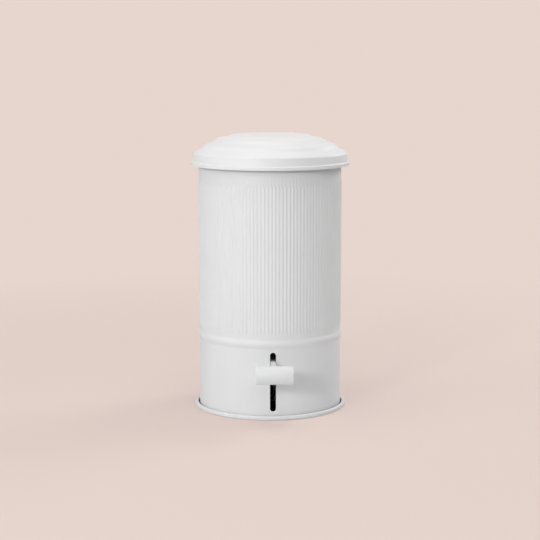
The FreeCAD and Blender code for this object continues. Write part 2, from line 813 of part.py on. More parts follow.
def make_pedal():
    at = ("0", "-pedal_reach", "pedal_height")
    length = "(pedal_long - cap_thick * 2)"
    skin = pipe("pedal_skin", "pedal_radius", "pedal_radius - pedal_wall", length,
                (f"-{length} / 2", at[1], at[2]), "x")
    wide = "lever_wide + rest_gap * 2"
    tall = "nose_tall + rest_gap * 2"
    mouth = block("pedal_mouth", (wide, "pedal_radius * 2", tall),
                  (f"-({wide}) / 2", at[1], f"pedal_height - ({tall}) / 2"))
    keep("pedal_tube", cut("pedal_tube", skin, mouth))
    bore = "axle_radius + running_gap / 2"
    for side, sign in (("left", "-1"), ("right", "1")):
        face = f"{sign} * pedal_long / 2"
        rounding = f"{sign} * (pedal_long / 2 - cap_round)"
        seat = f"{sign} * {length} / 2"
        plug = f"{sign} * ({length} / 2 - cap_plug)"
        floor = f"{sign} * ({length} / 2 - cap_round)"
        bung = "pedal_radius - pedal_wall - running_gap"
        body = new_body(f"cap_{side}")
        section = outline(body, "XZ_Plane", f"cap_{side}_section", [
            (plug, bore), (plug, bung), (seat, bung), (seat, "pedal_radius"),
            (rounding, "pedal_radius"), (face, "pedal_radius - cap_round"), (face, "0"),
            (floor, "0"), (floor, bore),
        ])
        revolve(body, section, "H_Axis")
        place(body, at)
        keep(f"pedal_cap_{side}", body)
    end = f"({length} / 2 - cap_round - running_gap)"
    axle = cylinder("pedal_axle", "axle_radius", f"{end} * 2", (f"-{end}", at[1], at[2]), "x")
    keep("pedal_axle", axle)


def make_fulcrum():
    inside = "(lever_wide / 2 + washer_thick + running_gap * 4)"
    outside = f"({inside} + cheek_thick)"
    base = block("fulcrum_base", ("bracket_base_half * 2", "cheek_half * 4", "cheek_thick"),
                 ("-bracket_base_half", "fulcrum_back - cheek_half * 2", "pan_top"))
    pieces = [base]
    for side, low in (("left", f"-{outside}"), ("right", inside)):
        pieces.append(block(f"cheek_{side}_web", ("cheek_thick", "cheek_half * 2", "pedal_height - pan_top"),
                            (low, "fulcrum_back - cheek_half", "pan_top")))
        pieces.append(cylinder(f"cheek_{side}_eye", "cheek_half", "cheek_thick",
                               (low, "fulcrum_back", "pedal_height"), "x"))
    openings = [
        cylinder("cheek_bore", "axle_radius + running_gap", f"{outside} * 2",
                 (f"-{outside}", "fulcrum_back", "pedal_height"), "x"),
        drills("fulcrum_holes", fulcrum_rivet_spots()),
    ]
    solid = fuse("fulcrum_solid", pieces)
    keep("fulcrum_bracket", cut("fulcrum_bracket", solid, fuse("fulcrum_openings", openings)))
    rivet_group("fulcrum_rivets", fulcrum_rivet_spots())
    headed_pin("fulcrum_pin", "fulcrum_clip", "axle_radius", outside, "fulcrum_back", "pedal_height")
    gap = "lever_wide / 2 + running_gap * 2"
    washers = doc.addObject("Part::Compound", "fulcrum_washers")
    washers.Links = [
        pipe(f"washer_{side}", "washer_radius", "axle_radius + running_gap", "washer_thick",
             (low, "fulcrum_back", "pedal_height"), "x")
        for side, low in (("left", f"-({gap}) - washer_thick"), ("right", gap))
    ]
    keep("fulcrum_washers", washers)


# Push rod: one bent wire with a hook at each end, held by push-on caps


def bent_wire(points, bend):
    """A path of straight runs whose corners are arcs of one radius."""
    edges = []
    start = points[0]
    for corner, following in zip(points[1:-1], points[2:]):
        toward = (corner - start).normalize()
        onward = (following - corner).normalize()
        before = corner - toward * bend
        after = corner + onward * bend
        middle = corner + (onward - toward) * bend * (1 - math.sqrt(0.5))
        edges.append(Part.LineSegment(start, before).toShape())
        edges.append(Part.Arc(before, middle, after).toShape())
        start = after
    edges.append(Part.LineSegment(start, points[-1]).toShape())
    return Part.Wire(edges)


def round_bar(path, radius, facing):
    """A round bar swept along a path that starts in the facing direction."""
    first = path.OrderedVertexes[0].Point
    ring = Part.Wire([Part.Circle(first, facing, radius).toShape()])
    return path.makePipeShell([ring], True, False)


def make_rod():
    side, back = number("rod_side"), number("rod_back")
    high, low = number("crank_height"), number("tail_height")
    high_end = -number("finger_thick / 2 + rod_cap_thick + hook_over")
    low_end = -number("lever_wide / 2 + rod_cap_thick + hook_over")
    points = [
        FreeCAD.Vector(high_end, back, high), FreeCAD.Vector(side, back, high),
        FreeCAD.Vector(side, back, low), FreeCAD.Vector(low_end, back, low),
    ]
    bar = round_bar(bent_wire(points, number("rod_bend")), number("rod_radius"), FreeCAD.Vector(1, 0, 0))
    keep("push_rod", shaped("push_rod", bar))
    caps = doc.addObject("Part::Compound", "rod_caps")
    caps.Links = [
        pipe(f"rod_cap_{end}", "rod_cap_radius", "rod_radius + running_gap / 2", "rod_cap_thick",
             (f"-({reach}) - rod_cap_thick - link_gap * 2", "rod_back", height), "x")
        for end, reach, height in (
            ("high", "finger_thick / 2", "crank_height"), ("low", "lever_wide / 2", "tail_height"),
        )
    ]
    keep("rod_caps", caps)


def make_guide(label, height):
    """A bent strap spot-welded to the barrel's wall, with a hole that the rod runs in."""
    foot_low = f"{height} - guide_foot_tall / 2"
    ring = pipe(f"{label}_ring", "inner_radius", "inner_radius - guide_sheet", "guide_foot_tall",
                ("0", "0", foot_low))
    gate = block(f"{label}_gate", ("guide_half * 2", "barrel_radius", "guide_foot_tall"),
                 ("rod_side - guide_half", "0", foot_low))
    foot = overlap(f"{label}_foot", [ring, gate])
    front = "rod_back - rod_radius - guide_lip"
    reach = f"sqrt((inner_radius - guide_sheet / 2) ^ 2 - (rod_side + guide_half) ^ 2) - ({front})"
    level = f"{height} - guide_sheet / 2"
    tab = block(f"{label}_tab", ("guide_half * 2", reach, "guide_sheet"),
                ("rod_side - guide_half", front, level))
    hole = cylinder(f"{label}_hole", "rod_radius + running_gap", "guide_sheet",
                    ("rod_side", "rod_back", level))
    keep(label, cut(label, fuse(f"{label}_strap", [foot, tab]), hole))


# Lift-out bucket


def make_bucket():
    foot = "shelf_top + rest_gap / 3"
    floor = f"{foot} + bucket_wall"
    rim_low = "bucket_top - bucket_rim_tall"
    body = new_body("pail_moulding")
    section = outline(body, "XZ_Plane", "pail_section", [
        ("0", foot), ("bucket_foot_radius", foot),
        ("bucket_mouth_radius", rim_low), ("bucket_rim_radius", rim_low),
        ("bucket_rim_radius", "bucket_top"), ("bucket_mouth_radius - bucket_wall", "bucket_top"),
        ("bucket_foot_radius - bucket_wall", floor), ("0", floor),
    ])
    revolve(body, section)
    place(body, ("0", "bucket_back", "0"))
    pieces = [body]
    lug_size = ("lug_thick", "lug_half * 2", "bail_height - bucket_top + lug_drop")
    for side, low in (("left", "-bucket_rim_radius"), ("right", "bucket_rim_radius - lug_thick")):
        web_at = (low, "bucket_back - lug_half", "bucket_top - lug_drop")
        eye_at = (low, "bucket_back", "bail_height")
        pieces.append(block(f"lug_{side}_web", lug_size, web_at))
        pieces.append(cylinder(f"lug_{side}_eye", "lug_half", "lug_thick", eye_at, "x"))
    bore = cylinder("lug_bore", "bail_radius + running_gap", "bucket_rim_radius * 2",
                    ("-bucket_rim_radius", "bucket_back", "bail_height"), "x")
    keep("bucket_pail", cut("bucket_pail", fuse("pail_solid", pieces), bore))


def bail_bow():
    """Radius and centre of the bail's bow, and the centre of the bend at its right end."""
    bend, reach = number("bail_bend"), number("bail_reach")
    back, height = number("bucket_back"), number("bail_height")
    side = number("bucket_rim_radius + bail_side_gap") + bend
    depth = reach - bend
    radius = (side ** 2 + depth ** 2) / (2 * depth)
    centre = FreeCAD.Vector(0, back - reach + radius, height)
    bend_back = back - bend
    bend_side = math.sqrt((radius - bend) ** 2 - (bend_back - centre.y) ** 2)
    return radius, centre, FreeCAD.Vector(bend_side, bend_back, height)


def make_bail():
    radius, centre, bend_centre = bail_bow()
    bend = number("bail_bend")
    backward = FreeCAD.Vector(0, 1, 0)
    outward = (bend_centre - centre).normalize()
    corner = (backward + outward).normalize()
    pin_root = bend_centre + backward * bend
    pin_end = pin_root - FreeCAD.Vector(number("bail_pin_long"), 0, 0)
    right = [pin_end, pin_root, bend_centre + corner * bend, centre + outward * radius]
    left = [FreeCAD.Vector(-point.x, point.y, point.z) for point in right]
    path = Part.Wire([
        Part.LineSegment(left[0], left[1]).toShape(),
        Part.Arc(left[1], left[2], left[3]).toShape(),
        Part.Arc(left[3], centre - backward * radius, right[3]).toShape(),
        Part.Arc(right[3], right[2], right[1]).toShape(),
        Part.LineSegment(right[1], right[0]).toShape(),
    ])
    bar = round_bar(path, number("bail_radius"), FreeCAD.Vector(1, 0, 0))
    keep("bucket_bail", shaped("bucket_bail", bar))
    half_angle = number("grip_half_angle")
    grip = Part.makeTorus(radius, number("grip_radius"), centre, UP, -BACK, BACK, half_angle * 2)
    bore = Part.makeTorus(radius, number("bail_radius + running_gap"), centre, UP)
    front_angle = -BACK / 2
    grip.rotate(centre, UP, front_angle - half_angle)
    keep("bail_grip", shaped("bail_grip", grip.cut(bore)))


make_base()
make_barrel()
make_shelf()
make_bumpers()
make_lid()
make_hinge_arm()
make_hinge_bracket()
headed_pin("hinge_pin", "hinge_clip", "hinge_pin_radius", "hinge_reach", "hinge_back", "hinge_height")
make_lever()
make_pedal()
make_fulcrum()
make_rod()
make_guide("rod_guide_low", "guide_low")
make_guide("rod_guide_high", "guide_high")
make_bucket()
make_bail()
doc.recompute()

broken = [thing.Label for thing in doc.Objects if {"Invalid", "Error"} & set(thing.State)]
if broken:
    raise SystemExit(f"these objects failed: {broken}")
for node in nodes:
    shape = node.Shape
    if shape.isNull() or not shape.isValid() or not shape.Solids:
        raise SystemExit(f"{node.Label} has no valid solid")

os.makedirs("parts", exist_ok=True)
for node in nodes:
    node.Shape.exportStep(f"parts/{node.Label}.step")
    print(f"{node.Label}: {len(node.Shape.Solids)} solid(s), {node.Shape.Volume:.1f} mm3")
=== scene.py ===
import json
import math

import bmesh
import bpy
from mathutils import Matrix, Vector


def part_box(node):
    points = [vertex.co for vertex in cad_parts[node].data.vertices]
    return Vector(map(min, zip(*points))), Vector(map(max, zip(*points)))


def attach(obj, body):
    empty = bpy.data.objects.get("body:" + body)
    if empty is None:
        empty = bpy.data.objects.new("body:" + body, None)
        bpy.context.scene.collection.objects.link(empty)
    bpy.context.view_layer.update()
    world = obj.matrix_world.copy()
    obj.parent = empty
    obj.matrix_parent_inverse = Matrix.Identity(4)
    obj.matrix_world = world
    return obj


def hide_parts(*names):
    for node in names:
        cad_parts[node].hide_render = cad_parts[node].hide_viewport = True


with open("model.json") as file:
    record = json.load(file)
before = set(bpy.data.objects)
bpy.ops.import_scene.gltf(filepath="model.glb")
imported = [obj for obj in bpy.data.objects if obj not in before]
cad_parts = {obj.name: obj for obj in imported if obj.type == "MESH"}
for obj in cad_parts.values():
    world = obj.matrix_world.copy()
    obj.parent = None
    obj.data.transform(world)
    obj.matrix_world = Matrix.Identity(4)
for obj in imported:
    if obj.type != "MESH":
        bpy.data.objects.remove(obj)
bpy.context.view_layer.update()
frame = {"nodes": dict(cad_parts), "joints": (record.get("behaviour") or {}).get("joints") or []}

# Base pan: a pressed steel disc whose edge is rolled up into the ring that shows at the foot.
# It is sprayed white with the barrel and riveted to the barrel's flange; the floor of its groove is painted
# near-black, as painted shade in the groove.


def rounded(corners, steps=6):
    """A closed outline whose corners are arcs; each corner is (across, up, arc radius)."""
    points = []
    count = len(corners)
    for index, (across, up, radius) in enumerate(corners):
        here = Vector((across, up))
        if not radius:
            points.append(here)
            continue
        before = (Vector(corners[index - 1][:2]) - here).normalized()
        after = (Vector(corners[(index + 1) % count][:2]) - here).normalized()
        half_angle = before.angle(after) / 2
        centre = here + (before + after).normalized() * (radius / math.sin(half_angle))
        reach = radius / math.tan(half_angle)
        start = (here + before * reach - centre).normalized()
        end = (here + after * reach - centre).normalized()
        points += [centre + start.slerp(end, step / steps) * radius for step in range(steps + 1)]
    return points


def mark_creases(shape):
    """Keeps a shape's real corners sharp under smooth shading."""
    crease = math.radians(38)
    for edge in shape.edges:
        edge.smooth = edge.calc_face_angle(0) < crease


def mesh_piece(name, shape):
    """A smooth-shaded piece from a bmesh."""
    bmesh.ops.recalc_face_normals(shape, faces=shape.faces)
    for face in shape.faces:
        face.smooth = True
    mark_creases(shape)
    mesh = bpy.data.meshes.new(name)
    shape.to_mesh(mesh)
    shape.free()
    piece = bpy.data.objects.new(name, mesh)
    bpy.context.scene.collection.objects.link(piece)
    return piece


def turned(name, outline, columns=192, place=None, swell=None, inside_from=None):
    """Turns a closed outline of (radius, height) points about an axis.

    Bands of the outline from inside_from on take the piece's second material.
    """
    on_axis = 1e-6
    shape = bmesh.new()
    rings = []
    for radius, height in outline:
        if radius < on_axis:
            rings.append([shape.verts.new((0, 0, height))])
            continue
        ring = []
        for column in range(columns):
            angle = math.tau * column / columns
            reach = radius + (swell(radius, height, angle) if swell else 0)
            ring.append(shape.verts.new((reach * math.cos(angle), reach * math.sin(angle), height)))
        rings.append(ring)
    for band, (ring, following) in enumerate(zip(rings, rings[1:] + rings[:1])):
        for column in range(columns):
            corners = [
                ring[column % len(ring)], ring[(column + 1) % len(ring)],
                following[(column + 1) % len(following)], following[column % len(following)],
            ]
            corners = list(dict.fromkeys(corners))
            if len(corners) > 2:
                face = shape.faces.new(corners)
                face.material_index = int(inside_from is not None and band >= inside_from)
    if place:
        shape.transform(place)
    return mesh_piece(name, shape)


def new_material(name, roughness, metallic=0.0):
    """A material with its Principled shader, and the nodes and links to add to."""
    material = bpy.data.materials.new(name)
    material.use_nodes = True
    tree = material.node_tree
    shader = tree.nodes["Principled BSDF"]
    shader.inputs["Roughness"].default_value = roughness
    shader.inputs["Metallic"].default_value = metallic
    return material, tree.nodes, tree.links, shader


def new_group(name, inputs, outputs):
    """A shader node group with named sockets, and its own input and output nodes."""
    group = bpy.data.node_groups.new(name, "ShaderNodeTree")
    for label, kind, value in inputs:
        socket = group.interface.new_socket(label, in_out="INPUT", socket_type=kind)
        socket.default_value = value
    for label, kind in outputs:
        group.interface.new_socket(label, in_out="OUTPUT", socket_type=kind)
    entry = group.nodes.new("NodeGroupInput")
    result = group.nodes.new("NodeGroupOutput")
    return group, entry, result


def add_group(nodes, group, **values):
    """Places a node group in a material and sets its inputs."""
    node = nodes.new("ShaderNodeGroup")
    node.node_tree = group
    for label, value in values.items():
        node.inputs[label.replace("_", " ")].default_value = value
    return node


def new_noise(nodes, links, scale, detail=2.0, source=None):
    """Noise in the piece's own coordinates."""
    noise = nodes.new("ShaderNodeTexNoise")
    noise.inputs["Detail"].default_value = detail
    if source is None:
        source = nodes.new("ShaderNodeTexCoord").outputs["Object"]
    links.new(source, noise.inputs["Vector"])
    if isinstance(scale, (int, float)):
        noise.inputs["Scale"].default_value = scale
    else:
        links.new(scale, noise.inputs["Scale"])
    return noise


def remap(nodes, links, value, low, high, start=0.3, end=0.7):
    """Spreads a value that runs from start to end, as most noise does, between low and high."""
    spread = nodes.new("ShaderNodeMapRange")
    spread.inputs["From Min"].default_value = start
    spread.inputs["From Max"].default_value = end
    spread.inputs["To Min"].default_value = low
    spread.inputs["To Max"].default_value = high
    links.new(value, spread.inputs["Value"])
    return spread.outputs["Result"]


def mix_colours(nodes, links, amount, first, second):
    """Mixes two colours, each a fixed one or a socket, by a mask."""
    tint = nodes.new("ShaderNodeMix")
    tint.data_type = "RGBA"
    links.new(amount, tint.inputs["Factor"])
    for label, colour in (("A", first), ("B", second)):
        if isinstance(colour, tuple):
            tint.inputs[label].default_value = colour
        else:
            links.new(colour, tint.inputs[label])
    return tint.outputs["Result"]


def add_bump(nodes, links, shader, height, distance, strength):
    """Raises a shader's surface by a height mask."""
    bump = nodes.new("ShaderNodeBump")
    bump.inputs["Distance"].default_value = distance
    bump.inputs["Strength"].default_value = strength
    links.new(height, bump.inputs["Height"])
    links.new(bump.outputs["Normal"], shader.inputs["Normal"])


def make_sprayed_skin():
    """Powder coat: a fine peel on the surface, with slightly cloudy colour and gloss."""
    group, entry, result = new_group(
        "sprayed_skin",
        [("Colour", "NodeSocketColor", (0.8, 0.8, 0.8, 1)),
         ("Cloud Colour", "NodeSocketColor", (0.7, 0.7, 0.7, 1)),
         ("Peel Scale", "NodeSocketFloat", 900.0), ("Gloss Low", "NodeSocketFloat", 0.36),
         ("Gloss High", "NodeSocketFloat", 0.46)],
        [("Colour", "NodeSocketColor"), ("Roughness", "NodeSocketFloat"), ("Height", "NodeSocketFloat")],
    )
    nodes, links = group.nodes, group.links
    cloud_scale = 14
    cloud = new_noise(nodes, links, cloud_scale, detail=4)
    amount = remap(nodes, links, cloud.outputs["Fac"], 0, 1)
    tint = mix_colours(nodes, links, amount, entry.outputs["Colour"], entry.outputs["Cloud Colour"])
    gloss = nodes.new("ShaderNodeMapRange")
    links.new(amount, gloss.inputs["Value"])
    links.new(entry.outputs["Gloss Low"], gloss.inputs["To Min"])
    links.new(entry.outputs["Gloss High"], gloss.inputs["To Max"])
    peel = new_noise(nodes, links, entry.outputs["Peel Scale"], detail=1)
    links.new(tint, result.inputs["Colour"])
    links.new(gloss.outputs["Result"], result.inputs["Roughness"])
    links.new(peel.outputs["Fac"], result.inputs["Height"])
    return group


sprayed_skin = make_sprayed_skin()


def make_sprayed_paint(name, colour, cloud_colour, roughness, peel_depth=0.00002):
    """Sprayed paint, or plastic moulded as smooth, in two close tints."""
    gloss_spread = 0.05
    material, nodes, links, shader = new_material(name, roughness)
    shader.inputs["Specular IOR Level"].default_value = 0.34
    skin = add_group(nodes, sprayed_skin, Colour=colour, Cloud_Colour=cloud_colour,
                     Gloss_Low=roughness - gloss_spread, Gloss_High=roughness + gloss_spread)
    links.new(skin.outputs["Colour"], shader.inputs["Base Color"])
    links.new(skin.outputs["Roughness"], shader.inputs["Roughness"])
    add_bump(nodes, links, shader, skin.outputs["Height"], distance=peel_depth, strength=0.5)
    return material


white_enamel = make_sprayed_paint("white_enamel", (0.815, 0.82, 0.825, 1), (0.795, 0.80, 0.805, 1),
                                  roughness=0.44)
# Painted shade: a near-black primer laid where shade falls, on the pan's groove floor, inside the barrel
# and inside the lid.
painted_shade_primer = make_sprayed_paint("painted_shade_primer", (0.05, 0.05, 0.052, 1), (0.07, 0.07, 0.07, 1),
                                 roughness=0.6)

pan_low, pan_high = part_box("base_pan")
floor_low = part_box("foot_ring")[1].z
floor_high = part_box("barrel_shell")[0].z
rim_wide = 0.0046
rim_outer = pan_high.x
rim_inner = rim_outer - rim_wide
rim_roll = 0.0021
inner_roll = 0.0016
pan_outline = rounded([
    (0, floor_low, 0), (rim_inner, floor_low, 0),
    (rim_inner, pan_low.z, inner_roll), (rim_outer, pan_low.z, rim_roll),
    (rim_outer, pan_high.z, rim_roll), (rim_inner, pan_high.z, inner_roll),
    (rim_inner, floor_high, 0), (0, floor_high, 0),
])
# The groove's floor band takes the near-black primer: painted shade.
groove_floor = len(pan_outline) - 2
base_pan = turned("base_pan_rolled", pan_outline, columns=256, inside_from=groove_floor)
base_pan.data.materials.append(white_enamel)
base_pan.data.materials.append(painted_shade_primer)
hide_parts("base_pan")
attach(base_pan, "housing")

# Foot ring: an extruded rubber ring pressed under the pan, so that the bin doesn't slide or scratch.
# It is black, matt and a little dusty.


def combine(nodes, links, operation, first, second):
    """One step of arithmetic on two sockets."""
    step = nodes.new("ShaderNodeMath")
    step.operation = operation
    links.new(first, step.inputs[0])
    links.new(second, step.inputs[1])
    return step.outputs["Value"]


def make_settled_dust():
    """A mask of fine dust, in specks that gather in patches."""
    group, entry, result = new_group(
        "settled_dust",
        [("Amount", "NodeSocketFloat", 0.3), ("Speck Scale", "NodeSocketFloat", 160.0)],
        [("Mask", "NodeSocketFloat")],
    )
    nodes, links = group.nodes, group.links
    patch_scale = 9
    specks = new_noise(nodes, links, entry.outputs["Speck Scale"], detail=5)
    patches = new_noise(nodes, links, patch_scale, detail=3)
    gathered = combine(nodes, links, "MULTIPLY", remap(nodes, links, specks.outputs["Fac"], 0, 1),
                       remap(nodes, links, patches.outputs["Fac"], 0, 1))
    mask = combine(nodes, links, "MULTIPLY", gathered, entry.outputs["Amount"])
    links.new(mask, result.inputs["Mask"])
    return group


settled_dust = make_settled_dust()


def make_dusty(name, colour, dust_colour, amount, roughness, grain_scale, grain_depth):
    """A dark moulded finish with a fine grain and a little dust in it."""
    gloss_spread = 0.08
    material, nodes, links, shader = new_material(name, roughness)
    dust = add_group(nodes, settled_dust, Amount=amount)
    links.new(mix_colours(nodes, links, dust.outputs["Mask"], colour, dust_colour),
              shader.inputs["Base Color"])
    grain = new_noise(nodes, links, grain_scale, detail=2)
    links.new(remap(nodes, links, grain.outputs["Fac"], roughness - gloss_spread, roughness + gloss_spread),
              shader.inputs["Roughness"])
    add_bump(nodes, links, shader, grain.outputs["Fac"], distance=grain_depth, strength=0.6)
    return material


black_rubber = make_dusty("black_rubber", (0.018, 0.018, 0.019, 1), (0.16, 0.15, 0.14, 1),
                          amount=0.35, roughness=0.75, grain_scale=700, grain_depth=0.00005)

ring_low, ring_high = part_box("foot_ring")
ring_wide = 0.014
ring_edge = 0.0006
foot_ring = turned("foot_ring_rubber", rounded([
    (ring_high.x - ring_wide, ring_low.z, ring_edge), (ring_high.x, ring_low.z, ring_edge),
    (ring_high.x, ring_high.z, 0), (ring_high.x - ring_wide, ring_high.z, 0),
], steps=3))
foot_ring.data.materials.append(black_rubber)
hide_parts("foot_ring")
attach(foot_ring, "housing")

# Barrel: one steel sheet rolled and seamed into a tube, with a bead rolled round it over the mechanism,
# upright ribs pressed out of its wall, a slot for the pedal's lever and a hem at the rim.
# It is sprayed white outside, and its inside is painted near-black as painted shade, so the slot shows
# dark.


def carve(piece, cutter, operation="DIFFERENCE"):
    """Cuts one piece's solid out of another, or joins it on, and throws the cutter away."""
    modifier = piece.modifiers.new("carve", "BOOLEAN")
    modifier.operation = operation
    modifier.solver = "EXACT"
    modifier.object = cutter
    graph = bpy.context.evaluated_depsgraph_get()
    mesh = bpy.data.meshes.new_from_object(piece.evaluated_get(graph))
    piece.modifiers.clear()
    piece.data = mesh
    bpy.data.objects.remove(cutter)
    shape = bmesh.new()
    shape.from_mesh(mesh)
    mark_creases(shape)
    shape.to_mesh(mesh)
    shape.free()


def slot_cutter(wide, low, high, start, end, corner_steps=12):
    """A bar along Y, with round ends, for cutting a slot through a wall."""
    radius = wide / 2
    points = []
    for centre, first in ((high - radius, 0), (low + radius, math.pi)):
        for step in range(corner_steps + 1):
            angle = first + math.pi * step / corner_steps
            points.append((radius * math.cos(angle), centre + radius * math.sin(angle)))
    shape = bmesh.new()
    front = [shape.verts.new((x, start, z)) for x, z in points]
    back = [shape.verts.new((x, end, z)) for x, z in points]
    shape.faces.new(front)
    shape.faces.new(back)
    for k, corner in enumerate(front):
        shape.faces.new((front[k - 1], corner, back[k], back[k - 1]))
    return mesh_piece("cutter", shape)


def joint_place(name):
    """A point on a joint's axis."""
    return Vector(next(joint["pos_m"] for joint in frame["joints"] if joint["name"] == name))


wall_low, wall_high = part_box("barrel_shell")
wall_top = wall_high.z
bead_proud = 0.0020
bead_height = (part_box("bucket_shelf")[0].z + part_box("bucket_shelf")[1].z) / 2
bead_half = 0.0064
inner_bead_half = bead_half * 0.96
bead_margin = 0.0006
wall = wall_high.x - bead_proud
sheet = 0.0008
inner = wall - sheet
hem_out = 0.0012
hem_tall = 0.008
hem_foot = wall_top - hem_tall
hem_edge = 0.0009
hem_crown = 0.0003
inner_edge = 0.0004
foot_flange = 0.0075
flange_top = wall_low.z + sheet
slot_row = 0.05
rib_count = 126
rib_low, rib_high = 0.124, 0.3367
rib_half = 0.0017
rib_proud = 0.0005
rib_spans = 6
rib_end_rows = 8
rib_end_reach = rib_half * 1.15
columns_per_rib = 10
seam_half = 0.0011
seam_proud = 0.0003


def wall_swell(radius, height, angle):
    """How far a rib's half-round bar with round ends, or the weld at the back, stands out of the wall."""
    off_seam = (angle - math.pi / 2) * wall / seam_half
    if radius == wall and abs(off_seam) < 1:
        return seam_proud * (1 - off_seam ** 2)
    step = math.tau / rib_count
    beside = ((angle + step / 2) % step - step / 2) * wall
    past_end = max(rib_low + rib_half - height, height - rib_high + rib_half, 0)
    off = math.hypot(beside, past_end) / rib_half
    if radius < wall or off >= 1:
        return 0
    fullness = 0.7
    return rib_proud * (1 - off ** 2) ** fullness


def bead_rows(radius, proud, half, steps=16):
    """The bead's swelling, from its foot to its top, running softly out into the wall."""
    softness = 1.2
    rows = [(radius, bead_height - half - bead_margin)]
    for step in range(steps + 1):
        across = 2 * step / steps - 1
        rows.append((radius + proud * (1 - across ** 2) ** softness, bead_height + half * across))
    rows.append((radius, bead_height + half + bead_margin))
    return rows


end_rows = [rib_end_reach * row / (rib_end_rows - 1) for row in range(rib_end_rows)]
outer_rows = [(wall, wall_low.z), (wall, slot_row)]
outer_rows += bead_rows(wall, bead_proud, bead_half)
outer_rows += [(wall, rib_low + rise) for rise in end_rows]
outer_rows += [(wall, rib_low + (rib_high - rib_low) * span / rib_spans) for span in range(1, rib_spans)]
outer_rows += [(wall, rib_high - rise) for rise in reversed(end_rows)]
outer_rows += [
    (wall, hem_foot - hem_out), (wall + hem_out * 0.5, hem_foot - hem_out * 0.4),
    (wall + hem_out, hem_foot), (wall + hem_out, wall_top - hem_edge),
    (wall + hem_out * 0.7, wall_top - hem_crown), (wall + hem_out * 0.3, wall_top),
]
inner_rows = [(inner + inner_edge, wall_top), (inner, wall_top - inner_edge)]
inner_rows += [(inner, rib_high), (inner, rib_low)]
inner_rows += reversed(bead_rows(inner, bead_proud, inner_bead_half))
inner_rows += [(inner, flange_top), (inner - foot_flange, flange_top), (inner - foot_flange, wall_low.z)]
barrel = turned("barrel_ribbed", outer_rows + inner_rows, columns=rib_count * columns_per_rib,
                swell=wall_swell, inside_from=len(outer_rows))
barrel.data.materials.append(white_enamel)
# The inside bands take the near-black primer: painted shade.
barrel.data.materials.append(painted_shade_primer)

cut_reach = 0.01
slot_wide, slot_low, slot_high = 0.0086, 0.0120, 0.0982
carve(barrel, slot_cutter(slot_wide, slot_low, slot_high, -wall - cut_reach, -wall + cut_reach))
hinge = joint_place("lid_hinge")
window_wide, window_half = 0.008, 0.0135
carve(barrel, slot_cutter(window_wide, hinge.z - window_half, hinge.z + window_half,
                          wall - cut_reach, wall + cut_reach))
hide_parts("barrel_shell")
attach(barrel, "housing")

# Mechanism: pressed and turned steel pieces inside the foot and behind the rim, in dull zinc plate.
# The lever is sprayed white, because its front end shows.
# The rivets, pins, clips, shelf, brackets, lever, rod and guides are the solids themselves.


def make_rub_marks():
    """A mask of fine short scratches, from noise squeezed along X."""
    group, entry, result = new_group(
        "rub_marks",
        [("Stretch", "NodeSocketFloat", 12.0), ("Scale", "NodeSocketFloat", 120.0)],
        [("Mask", "NodeSocketFloat")],
    )
    nodes, links = group.nodes, group.links
    place = nodes.new("ShaderNodeTexCoord")
    squeeze = nodes.new("ShaderNodeCombineXYZ")
    squeeze.inputs["Y"].default_value = 1
    squeeze.inputs["Z"].default_value = 1
    links.new(entry.outputs["Stretch"], squeeze.inputs["X"])
    scaled = nodes.new("ShaderNodeVectorMath")
    scaled.operation = "MULTIPLY"
    links.new(place.outputs["Object"], scaled.inputs[0])
    links.new(squeeze.outputs["Vector"], scaled.inputs[1])
    marks = new_noise(nodes, links, entry.outputs["Scale"], detail=6, source=scaled.outputs["Vector"])
    links.new(remap(nodes, links, marks.outputs["Fac"], 0, 1), result.inputs["Mask"])
    return group


rub_marks = make_rub_marks()


def make_zinc(name, bright, dull, roughness, spangle_scale):
    """Zinc plate: small spangles of two greys, rubbed by handling."""
    polish, wear = 0.08, 0.1
    mark_depth = 0.00002
    material, nodes, links, shader = new_material(name, roughness, metallic=1.0)
    place = nodes.new("ShaderNodeTexCoord")
    spangle = nodes.new("ShaderNodeTexVoronoi")
    spangle.inputs["Scale"].default_value = spangle_scale
    links.new(place.outputs["Object"], spangle.inputs["Vector"])
    grey = nodes.new("ShaderNodeSeparateColor")
    links.new(spangle.outputs["Color"], grey.inputs["Color"])
    links.new(mix_colours(nodes, links, grey.outputs["Red"], bright, dull), shader.inputs["Base Color"])
    marks = add_group(nodes, rub_marks)
    links.new(remap(nodes, links, marks.outputs["Mask"], roughness - polish, roughness + wear),
              shader.inputs["Roughness"])
    add_bump(nodes, links, shader, marks.outputs["Mask"], distance=mark_depth, strength=0.4)
    return material


zinc_sheet = make_zinc("zinc_sheet", (0.62, 0.62, 0.63, 1), (0.52, 0.52, 0.53, 1),
                       roughness=0.48, spangle_scale=260)
zinc_wire = make_zinc("zinc_wire", (0.66, 0.66, 0.67, 1), (0.60, 0.60, 0.61, 1),
                      roughness=0.38, spangle_scale=500)


def dress(material, *nodes):
    """Gives CAD nodes a finish."""
    for name in nodes:
        for slot in frame["nodes"][name].material_slots:
            slot.material = material


dress(zinc_sheet, "bucket_shelf", "fulcrum_bracket", "rod_guide_low", "rod_guide_high", "hinge_bracket",
      "lid_hinge_arm")
dress(white_enamel, "pedal_lever")
dress(zinc_wire, "base_rivets", "fulcrum_rivets", "fulcrum_pin", "fulcrum_clip", "fulcrum_washers",
      "hinge_bracket_rivets", "hinge_pin", "hinge_clip", "push_rod", "rod_caps", "pedal_axle")

# Pedal: a short piece of steel tube, sprayed white, slid crosswise over the lever's nose.
# A moulded cap closes each end, held by the axle that runs through the lever.

